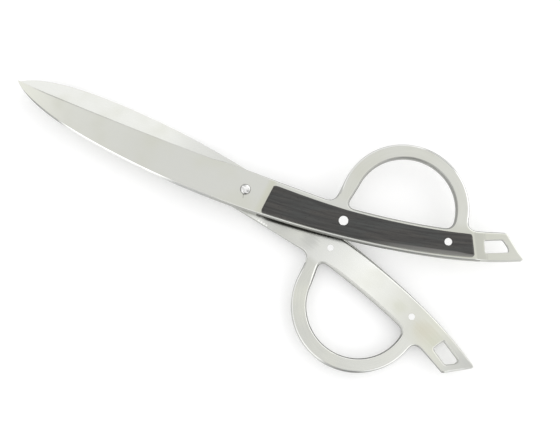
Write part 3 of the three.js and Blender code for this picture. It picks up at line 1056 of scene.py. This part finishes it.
# %% [markdown]
# ## Coordinates for the finishes
# Grinding lines, wood grain and stains follow the shape of a half, so every finish needs to know where
# it is on that half. A UV map could hold that, but Object coordinates already do: they are metres in the
# shared frame. A node group turns them into millimetres from the pivot and turns the back half over.
# It puts out the place along and across the half, the distance from its bent middle line (Sweep) and
# from the other half's line when closed (Crossing), how far a point lies behind the tail's step
# (Behind), the distance from the finger hole's centre, widened with its leaning front side (Hole),
# radius and turn about the bow's centre, and a mask of the bow.

# %% Node group for places on a half
SWEEP_BEND = -0.00142
TO_MM = 1000


def new_group(name, outputs):
    group = bpy.data.node_groups.new(name, "ShaderNodeTree")
    group.interface.new_socket("Vector", in_out="INPUT", socket_type="NodeSocketVector")
    for socket in outputs:
        group.interface.new_socket(socket, in_out="OUTPUT", socket_type="NodeSocketFloat")
    return group, add_node(group, "NodeGroupInput"), add_node(group, "NodeGroupOutput")


def join(tree, *values):
    node = add_node(tree, "ShaderNodeCombineXYZ")
    for socket, value in zip(node.inputs, values):
        link(tree, value, socket)
    return node.outputs[0]


def square(tree, value):
    return calc(tree, "MULTIPLY", value, value)


place_outputs = ["Along", "Across", "Sweep", "Crossing", "Behind", "Hole", "Radius", "Turn", "Bow"]
places, start, end = new_group("places_on_a_half", place_outputs)
mapping = add_node(places, "ShaderNodeMapping")
mapping.inputs["Scale"].default_value = (TO_MM, TO_MM, TO_MM)
mapping.inputs["Location"].default_value = -TO_MM * pivot_place
link(places, start.outputs["Vector"], mapping.inputs["Vector"])
split = add_node(places, "ShaderNodeSeparateXYZ")
link(places, mapping.outputs[0], split.inputs[0])
along = split.outputs["X"]
across = calc(places, "MULTIPLY", split.outputs["Y"], calc(places, "SIGN", split.outputs["Z"]))
bent = calc(places, "MULTIPLY", square(places, calc(places, "SUBTRACT", along, BELLY.x)), SWEEP_BEND)
behind = calc(places, "MULTIPLY_ADD", along, step_run.x, -step_line.dot(step_run))
link(places, along, end.inputs["Along"])
link(places, across, end.inputs["Across"])
link(places, calc(places, "ADD", across, bent), end.inputs["Sweep"])
link(places, calc(places, "SUBTRACT", bent, across), end.inputs["Crossing"])
link(places, calc(places, "MULTIPLY_ADD", across, step_run.y, behind), end.inputs["Behind"])
print("group", places.name, "puts out", place_outputs)

# %% [markdown]
# The bow needs round coordinates. The mask of the bow is everything above the bar's top line and within
# the bow's outer circle. Round the finger hole, a point lower than the hole's centre is measured
# level with it, so the distance also follows the hole's side.

# %% Round coordinates of the bow
BAR_SLOPE = 0.254
BAR_RISE = 2.2


def distance_to(tree, place, centre):
    node = add_node(tree, "ShaderNodeVectorMath", operation="DISTANCE")
    link(tree, place, node.inputs[0])
    node.inputs[1].default_value = (*centre, 0)
    return node.outputs["Value"]


beside = calc(places, "SUBTRACT", along, BOW_CENTRE.x)
above = calc(places, "SUBTRACT", across, BOW_CENTRE.y)
radius = calc(places, "SQRT", calc(places, "ADD", square(places, beside), square(places, above)))
over_bar = calc(places, "SUBTRACT", across, calc(places, "MULTIPLY_ADD", along, BAR_SLOPE, BAR_RISE))
within = ramp(places, radius, BOW_RADIUS + 0.4, BOW_RADIUS + 2.4, 1.0, 0.0)
level_place = join(places, along, calc(places, "MAXIMUM", across, HOLE_CENTRE.y))
below = calc(places, "MAXIMUM", calc(places, "SUBTRACT", HOLE_CENTRE.y, across), 0.0)
front_lean = -FRONT_REACH / (HOLE_CENTRE.y - front_corner.y)
from_hole = calc(places, "MULTIPLY_ADD", below, front_lean, distance_to(places, level_place, HOLE_CENTRE))
link(places, from_hole, end.inputs["Hole"])
link(places, radius, end.inputs["Radius"])
link(places, calc(places, "ARCTAN2", beside, above), end.inputs["Turn"])
link(places, calc(places, "MULTIPLY", ramp(places, over_bar, 0.0, 3.0), within), end.inputs["Bow"])
print("group", places.name, "has", len(places.nodes), "nodes")

# %% [markdown]
# ## Brushed lines
# The steel was ground lengthwise along blade and bar and round the bows, which leaves fine lines in
# that direction, and handling leaves soft clouds. An image of brushed metal would show its repeats.
# Stretched noise gives the lines and plain noise the clouds. One group serves the outer faces, the
# inner faces and the edges, each with its own strength.

# %% Node group for brushed lines
ARC_STRETCH = 0.5
BAR_STRETCH = 0.025


def mix_value(tree, factor, first, second):
    node = add_node(tree, "ShaderNodeMix", data_type="FLOAT")
    for socket, value in zip(node.inputs[:1] + node.inputs[2:4], (factor, first, second)):
        link(tree, value, socket)
    return node.outputs[0]


def noise(tree, vector, scale, detail, rough):
    node = add_node(tree, "ShaderNodeTexNoise")
    node.inputs["Scale"].default_value = scale
    node.inputs["Detail"].default_value = detail
    node.inputs["Roughness"].default_value = rough
    link(tree, vector, node.inputs["Vector"])
    return node.outputs[0]


brushed, start, end = new_group("brushed_lines", ["Lines", "Bands", "Clouds"])
here = add_node(brushed, "ShaderNodeGroup", node_tree=places)
link(brushed, start.outputs["Vector"], here.inputs["Vector"])
arc_along = calc(brushed, "MULTIPLY", here.outputs["Turn"], ARC_STRETCH)
bar_along = calc(brushed, "MULTIPLY", here.outputs["Along"], BAR_STRETCH)
lengthwise = mix_value(brushed, here.outputs["Bow"], bar_along, arc_along)
sideways = mix_value(brushed, here.outputs["Bow"], here.outputs["Sweep"], here.outputs["Radius"])
stretched = join(brushed, lengthwise, sideways)
spot = join(brushed, here.outputs["Along"], here.outputs["Across"])
link(brushed, noise(brushed, stretched, 4.0, 3.0, 0.6), end.inputs["Lines"])
link(brushed, noise(brushed, stretched, 0.9, 2.0, 0.5), end.inputs["Bands"])
link(brushed, noise(brushed, spot, 0.055, 2.0, 0.5), end.inputs["Clouds"])
print("group", brushed.name, "made")

# %% [markdown]
# ## Steel
# A half is one steel with six finishes: satin outside, ground brighter inside, dull tumbled edges,
# bright polished ones, soft roundings and a near-black painted shade for the gap under the front handle.
# Its colour drifts along the half, as the grinding does, and a colour ramp over the place along it gives
# that drift; the ramps also hold painted reflections and painted shade. The helpers come first.

# %% Helpers for a finish
def new_finish(name):
    finish = bpy.data.materials.new(name)
    finish.use_nodes = True
    tree = finish.node_tree
    shader = tree.nodes["Principled BSDF"]
    where = add_node(tree, "ShaderNodeTexCoord").outputs["Object"]
    here = add_node(tree, "ShaderNodeGroup", node_tree=places)
    link(tree, where, here.inputs["Vector"])
    return finish, tree, shader, where, here


def mix_colour(tree, factor, first, second):
    node = add_node(tree, "ShaderNodeMix", data_type="RGBA")
    for socket, value in zip((node.inputs[0], node.inputs[6], node.inputs[7]), (factor, first, second)):
        if isinstance(value, tuple):
            socket.default_value = (*value, 1)
        else:
            link(tree, value, socket)
    return node.outputs[2]


def colour_along(tree, along, stops):
    node = add_node(tree, "ShaderNodeValToRGB")
    low, high = stops[0][0], stops[-1][0]
    marks = node.color_ramp.elements
    while len(marks) < len(stops):
        marks.new(0.5)
    for mark, (place, colour) in zip(marks, stops):
        mark.position = (place - low) / (high - low)
        mark.color = (*colour, 1)
    span = add_node(tree, "ShaderNodeMapRange")
    span.inputs["From Min"].default_value = low
    span.inputs["From Max"].default_value = high
    link(tree, along, span.inputs["Value"])
    link(tree, span.outputs[0], node.inputs["Fac"])
    return node.outputs["Color"]


def bump(tree, shader, height, strength, distance):
    node = add_node(tree, "ShaderNodeBump")
    node.inputs["Strength"].default_value = strength
    node.inputs["Distance"].default_value = distance
    link(tree, height, node.inputs["Height"])
    link(tree, node.outputs[0], shader.inputs["Normal"])


print("helpers for finishes ready")

# %% [markdown]
# The halves carry marks: tan blotches and a short row of dark spots below the pivot. Painted light goes
# on in the same way: a few painted highlights, a painted shadow line where the halves cross, and painted
# shade on the slope behind the wood and on a stretch of the bow's crown. An image could hold them, but
# round spots with uneven edges do as well, and so do masks, each a product of ramps over the coordinates.
# A mask's strength comes first, and then where each of its ramps starts and ends.

# %% Marks on the steel
# painted shadow line on the back half's inner face, where the front half's edge lies when closed
GAP_SHADOW_LINE = (
    0.9, ("Crossing", -11.5, -10.9), ("Crossing", -9.2, -10.0), ("Along", 9.0, 16.0), ("Along", 50.0, 38.0))
# painted shade on the tail's slope behind the wood
TAIL_SLOPE = (1.0, ("Behind", 0.3, 1.6), ("Behind", 6.2, 4.6), ("Along", 80.0, 84.0))
# painted shade on the bow's outer rounding at its crown
BOW_CROWN = (0.7, ("Turn", -0.2, -0.02), ("Turn", 0.6, 0.4), ("Radius", 24.4, 25.0))


def add_spots(tree, base, here, wobble, spots):
    spot = join(tree, here.outputs["Along"], here.outputs["Across"])
    for x, y, radius, colour, strength in spots:
        uneven = calc(tree, "MULTIPLY_ADD", wobble, 0.9 * radius, distance_to(tree, spot, (x, y)))
        base = mix_colour(tree, ramp(tree, uneven, 0.6 * radius, 1.5 * radius, strength, 0.0), base, colour)
    return base


def mark_mask(tree, here, strength, first, *others):
    coordinate, low, high = first
    mask = ramp(tree, here.outputs[coordinate], low, high, 0.0, strength)
    for coordinate, low, high in others:
        mask = calc(tree, "MULTIPLY", mask, ramp(tree, here.outputs[coordinate], low, high))
    return mask


# the oil line in this print is the painted shadow line where the halves cross
print("marks: spots, oil line, tail slope and bow crown")

# %% [markdown]
# One function builds every steel finish: a metal shader whose colour follows the ramps of bar and bow,
# with clouds of stain, fine dark lines that are stronger on the bow, and the marks on top. The lines
# also go into the roughness and, very low, into the bump, so they catch the light.

# %% One steel finish
LINE_SHADE = (0.35, 0.35, 0.33)
LINE_SPAN = (0.25, 0.75)
LINE_DEPTH = 0.0001
BOW_LINES = 3.0
CLOUD_SPAN = (0.42, 0.72)
CLOUD_STRENGTH = 0.6
BAND_SPAN = (0.2, 0.8)
HEEL_BLEND = (-14.0, 4.0)


def steel_finish(name, stops, bow, stain, rough, lines, spots=(), trace=None):
    finish, tree, shader, where, here = new_finish(name)
    grain = add_node(tree, "ShaderNodeGroup", node_tree=brushed)
    link(tree, where, grain.inputs["Vector"])
    bow_axis, bow_stops = bow
    bow_colour = colour_along(tree, here.outputs[bow_axis], bow_stops)
    base = colour_along(tree, here.outputs["Along"], stops)
    base = mix_colour(tree, here.outputs["Bow"], base, bow_colour)
    clouds = ramp(tree, grain.outputs["Clouds"], *CLOUD_SPAN, 0.0, CLOUD_STRENGTH)
    base = mix_colour(tree, clouds, base, stain)
    stronger = calc(tree, "MULTIPLY_ADD", here.outputs["Bow"], BOW_LINES, 1.0)
    shade = calc(tree, "MULTIPLY", ramp(tree, grain.outputs["Lines"], *LINE_SPAN, 0.0, lines), stronger)
    base = mix_colour(tree, shade, base, LINE_SHADE)
    base = add_spots(tree, base, here, grain.outputs["Bands"], spots)
    if trace:
        mark, colour = trace
        base = mix_colour(tree, mark_mask(tree, here, *mark), base, colour)
    link(tree, base, shader.inputs["Base Color"])
    blade_rough, handle_rough = rough
    gloss = ramp(tree, here.outputs["Along"], *HEEL_BLEND, blade_rough, handle_rough)
    uneven = ramp(tree, grain.outputs["Bands"], *BAND_SPAN, -0.4 * lines, 0.4 * lines)
    link(tree, calc(tree, "ADD", gloss, uneven), shader.inputs["Roughness"])
    shader.inputs["Metallic"].default_value = 1
    bump(tree, shader, grain.outputs["Lines"], 0.3 * lines, LINE_DEPTH)
    return finish


def steel(level, blue):
    return (level, 1.008 * level, blue * level)


def shades(*stops):
    return [(place, steel(level, blue)) for place, level, blue in stops]


print("steel of level 0.7:", steel(0.7, 0.96))

# %% [markdown]
# Outside, the blade is satin, and its paler tip is painted reflection. The steel is yellowish in a narrow
# band in front of the wood. A short row of dark spots runs down from the pivot, and the slope behind the
# wood has painted shade. Each stop of a ramp is a place in millimetres, a level and how much blue is left.

# %% Outer faces
NEAR_BLACK = (0.1, 0.1, 0.09)
# the paler stops towards the tip are painted reflection
outer_stops = shades(
    (TIP.x, 0.85, 0.915), (-80, 0.72, 0.935), (-45, 0.677, 0.95), (6.8, 0.677, 0.95), (7.8, 0.64, 0.87),
    (9.4, 0.64, 0.87), (10.6, 0.677, 0.95), (55, 0.677, 0.95), (92, 0.64, 0.9), (TAIL_TIP.x, 0.67, 0.92))
outer_bow = ("Along", shades((34, 0.69, 0.935), (90, 0.71, 0.935)))
dark_spots_below_pivot = [(0.3, -2.3, 0.4, NEAR_BLACK, 0.7), (0.5, -2.9, 0.35, NEAR_BLACK, 0.6), (0.7, -3.5, 0.3, NEAR_BLACK, 0.5)]
satin_steel = steel_finish(
    "satin_steel", outer_stops, outer_bow, stain=steel(0.65, 0.885), rough=(0.3, 0.3), lines=0.03,
    spots=dark_spots_below_pivot, trace=(TAIL_SLOPE, steel(0.475, 0.905)))
print("outer finish:", satin_steel.name)

# %% [markdown]
# Inside, the halves were ground after stamping and rub on each other, so the steel is brighter. The rise
# and fall of its level along the half is painted reflection and painted shade. A few painted highlights lie
# behind the pivot, a dark patch by the large rivet, tan blotches by the tail, and a painted shadow line
# marks where the other half's edge lies when the scissors are closed.

# %% Inner faces
PAINTED_HIGHLIGHT = steel(1.0, 0.98)
DARK_PATCH = steel(0.55, 0.96)
TAN = (0.69, 0.672, 0.565)
OLIVE = (0.68, 0.688, 0.575)
# the rise and fall of these levels, on the bar and on the bow, is painted reflection and painted shade
inner_stops = shades(
    (TIP.x, 0.89, 0.965), (-40, 0.905, 0.967), (-28, 0.79, 0.966), (-8, 0.7, 0.965), (3, 0.74, 0.965),
    (8.5, 0.88, 0.965), (13, 0.68, 0.96), (20, 0.6, 0.955), (46, 0.84, 0.967), (59, 0.99, 0.967),
    (70, 0.86, 0.955), (82, 0.74, 0.93), (92, 0.76, 0.9), (102, 0.66, 0.955), (TAIL_TIP.x, 0.565, 0.965))
inner_bow = ("Along", shades((34, 0.655, 0.945), (60, 0.69, 0.945), (88, 0.8, 0.95)))
highlights_and_stains = [
    # the first four spots are painted highlights on the shank's edge
    (10.2, 8.5, 0.8, PAINTED_HIGHLIGHT, 0.9),
    (11.4, 8.6, 0.8, PAINTED_HIGHLIGHT, 0.9),
    (12.6, 8.7, 0.8, PAINTED_HIGHLIGHT, 0.9),
    (13.7, 8.8, 0.7, PAINTED_HIGHLIGHT, 0.8),
    (32, 6.4, 5, DARK_PATCH, 0.65),
    (76, 15, 4, OLIVE, 0.4),
    (86.5, 18.9, 4.5, TAN, 0.6),
    (89.8, 19.6, 6, TAN, 0.75),
    (94.2, 21.4, 5, OLIVE, 0.7),
]
ground_steel = steel_finish(
    "ground_steel", inner_stops, inner_bow, stain=steel(0.78, 0.895), rough=(0.26, 0.26), lines=0.03,
    spots=highlights_and_stains, trace=(GAP_SHADOW_LINE, NEAR_BLACK))
print("inner finish:", ground_steel.name, "with", len(highlights_and_stains), "spots")

# %% [markdown]
# The edges have three finishes. Tumbled ones are dull and grey. Bright ones were polished; along the blade
# their level follows a painted highlight and painted shade on the spine's edge, and across the bow's
# roundings painted highlight lines lie between lines of painted shade. Soft ones are matt roundings, with a
# line of painted shade and a painted highlight line round the finger hole.

# %% Edges
tumbled_stops = shades(
    (TIP.x, 0.52, 0.96), (-14, 0.48, 0.96), (6, 0.45, 0.96), (12, 0.38, 0.96), (TAIL_TIP.x, 0.38, 0.96))
tumbled_bow = ("Along", shades((34, 0.4, 0.96), (90, 0.38, 0.96)))
tumbled_steel = steel_finish(
    "tumbled_edges", tumbled_stops, tumbled_bow, stain=steel(0.38, 0.93), rough=(0.4, 0.4), lines=0.1)
# levels along the blade's edge: painted highlight and painted shade
bright_stops = shades(
    (TIP.x, 0.3, 0.97), (-83, 0.33, 0.97), (-76, 0.97, 0.985), (-36, 0.97, 0.985), (-27, 0.45, 0.985),
    (-12, 0.4, 0.98), (4, 0.7, 0.975), (TAIL_TIP.x, 0.74, 0.975))
# across the bow's roundings: painted highlight lines between lines of painted shade
bright_bow = ("Radius", shades(
    (20.4, 0.55, 0.97), (20.6, 0.86, 0.97), (21.1, 0.86, 0.97), (21.4, 0.7, 0.96), (25.2, 0.7, 0.96),
    (25.3, 0.5, 0.97), (25.42, 0.88, 0.975), (25.72, 0.9, 0.975), (25.84, 0.55, 0.97), (26.4, 0.5, 0.97)))
bright_steel = steel_finish(
    "bright_edges", bright_stops, bright_bow, stain=steel(0.78, 0.96), rough=(0.2, 0.3), lines=0.03,
    trace=(BOW_CROWN, steel(0.3, 0.97)))
soft_stops = shades((0, 0.5, 0.96), (34, 0.5, 0.96), (38, 0.63, 0.96), (TAIL_TIP.x, 0.63, 0.96))
# round the finger hole: a line of painted shade, then a painted highlight line
soft_bow = ("Hole", shades((20.3, 0.22, 0.96), (20.75, 0.24, 0.96), (20.9, 0.95, 0.97), (21.4, 0.97, 0.97)))
# painted highlight at the finger hole's rear corner
highlight_at_rear_corner = [(82, 21.5, 1.6, PAINTED_HIGHLIGHT, 0.9)]
soft_steel = steel_finish(
    "soft_edges", soft_stops, soft_bow, stain=steel(0.6, 0.94), rough=(0.5, 0.5), lines=0.04,
    spots=highlight_at_rear_corner)
print("edge finishes:", tumbled_steel.name, bright_steel.name, soft_steel.name)

# %% [markdown]
# A near-black finish paints the shade in the narrow gap under the front half's handle and makes its
# lower edge almost black. The same function serves for it. Then all six go on the halves in the order of
# the slots that the table of edge finishes uses.

# %% Painted gap shade, and all finishes on the halves
gap_shade_stops = [(0, (0.05, 0.05, 0.046)), (60, (0.055, 0.055, 0.05))]
painted_gap_shade = steel_finish(
    "painted_gap_shade", gap_shade_stops, ("Along", gap_shade_stops), stain=(0.06, 0.055, 0.045), rough=(0.5, 0.5), lines=0.1)
steel_finishes = [satin_steel, ground_steel, tumbled_steel, bright_steel, painted_gap_shade, soft_steel]
for half in steel_halves.values():
    for finish in steel_finishes:
        half.data.materials.append(finish)
washer.data.materials.append(satin_steel)
print("steel finishes:", [finish.name for finish in steel_finishes])

# %% [markdown]
# ## Wood
# The scales are of a nearly black, open-grained wood with an oiled surface. Its grain runs along the
# handle in fine dark lines with lighter bands between them, and short pores catch the light. A wave
# texture would look too even. Noise that is stretched along the bar's own sweep follows the bend of
# the handle, as laid wood would.

# %% Wood grain
DARK_GRAIN = (0.0165, 0.016, 0.0155)
BROWN_BAND = (0.055, 0.0505, 0.045)
GREY_BAND = (0.045, 0.0485, 0.0465)
PALE_FIBRE = (0.06, 0.058, 0.055)
DARK_PORE = (0.012, 0.011, 0.01)
dark_wood, tree, shader, where, here = new_finish("dark_wood")


def stretched_place(stretch, sideways):
    return join(tree, calc(tree, "MULTIPLY", here.outputs["Along"], stretch), sideways)


drift = noise(tree, stretched_place(0.06, here.outputs["Sweep"]), 0.3, 2.0, 0.5)
wavy = calc(tree, "MULTIPLY_ADD", drift, 2.5, here.outputs["Sweep"])
figure = noise(tree, stretched_place(0.05, wavy), 0.9, 3.0, 0.65)
fibre = noise(tree, stretched_place(0.05, wavy), 4.5, 3.0, 0.7)
pores = ramp(tree, noise(tree, stretched_place(0.16, wavy), 5.0, 2.0, 0.5), 0.6, 0.72)
tint = ramp(tree, noise(tree, stretched_place(0.35, here.outputs["Sweep"]), 0.16, 2.0, 0.5), 0.42, 0.62)
pale_band = mix_colour(tree, tint, BROWN_BAND, GREY_BAND)
base = mix_colour(tree, ramp(tree, figure, 0.3, 0.7), DARK_GRAIN, pale_band)
base = mix_colour(tree, ramp(tree, fibre, 0.35, 0.75, 0.0, 0.55), base, PALE_FIBRE)
base = mix_colour(tree, pores, base, DARK_PORE)
print("wood grain of", len(tree.nodes), "nodes")

# %% [markdown]
# Along the long edge that the palm has worn, the wood is painted paler, partly for the wear and partly as
# painted sheen on its rounding, and the attribute that the scales carry says where. The fibres make the
# oiled surface unevenly glossy, and the pores are tiny hollows in the bump.

# %% Wear and gloss of the wood
WORN_AND_SHEEN_WOOD = (0.25, 0.247, 0.232)
worn = add_node(tree, "ShaderNodeAttribute", attribute_name="wear_and_sheen")
# paler palm edge: partly wear, partly painted sheen on its rounding
patchy = calc(tree, "MULTIPLY", worn.outputs["Fac"], ramp(tree, figure, 0.2, 0.7, 0.7, 1.0))
link(tree, mix_colour(tree, patchy, base, WORN_AND_SHEEN_WOOD), shader.inputs["Base Color"])
link(tree, ramp(tree, fibre, 0.2, 0.8, 0.36, 0.56), shader.inputs["Roughness"])
relief = calc(tree, "MULTIPLY_ADD", pores, -0.7, calc(tree, "MULTIPLY", fibre, 0.5))
bump(tree, shader, relief, 0.35, 0.00012)
for wood in wood_scales:
    wood.data.materials.append(dark_wood)
print("wood finish:", dark_wood.name)

# %% [markdown]
# ## Bright metal
# The scale rivets are filed flush and then polished, so they are the brightest spots. The pivot's dome
# is a mirror whose dark patches are painted reflections and whose darker rim, where it meets the blade, is
# painted shade. Both are bright metal with uneven roughness from a fine noise, and the dome's rim is a
# mask of the distance from the pivot.

# %% Bright metal finishes
DOME_SHADE = (0.3, 0.3, 0.29)


def bright_finish(name, colour, mottle_colour, rough, size, rim=None):
    finish, tree, shader, where, here = new_finish(name)
    mottle = noise(tree, where, size, 3.0, 0.6)
    base = mix_colour(tree, ramp(tree, mottle, 0.35, 0.75), colour, mottle_colour)
    if rim:
        spot = join(tree, here.outputs["Along"], here.outputs["Across"])
        base = mix_colour(tree, ramp(tree, distance_to(tree, spot, (0, 0)), *rim), base, DOME_SHADE)
    link(tree, base, shader.inputs["Base Color"])
    link(tree, ramp(tree, mottle, 0.3, 0.7, *rough), shader.inputs["Roughness"])
    shader.inputs["Metallic"].default_value = 1
    bump(tree, shader, mottle, 0.04, 0.00005)
    return finish


filed_rivet = bright_finish(
    "filed_rivet", (0.98, 0.98, 0.975), (0.96, 0.96, 0.95), rough=(0.22, 0.36), size=1500.0)
# the dome's dark mottle is painted reflection and its darker rim painted shade
polished_dome = bright_finish(
    "polished_dome", (0.97, 0.97, 0.96), (0.36, 0.36, 0.35), rough=(0.05, 0.12), size=700.0,
    rim=(1.45, 2.1))
for pin in rivets:
    pin.data.materials.append(filed_rivet)
pivot_pin.data.materials.append(polished_dome)
print("bright finishes:", filed_rivet.name, polished_dome.name)
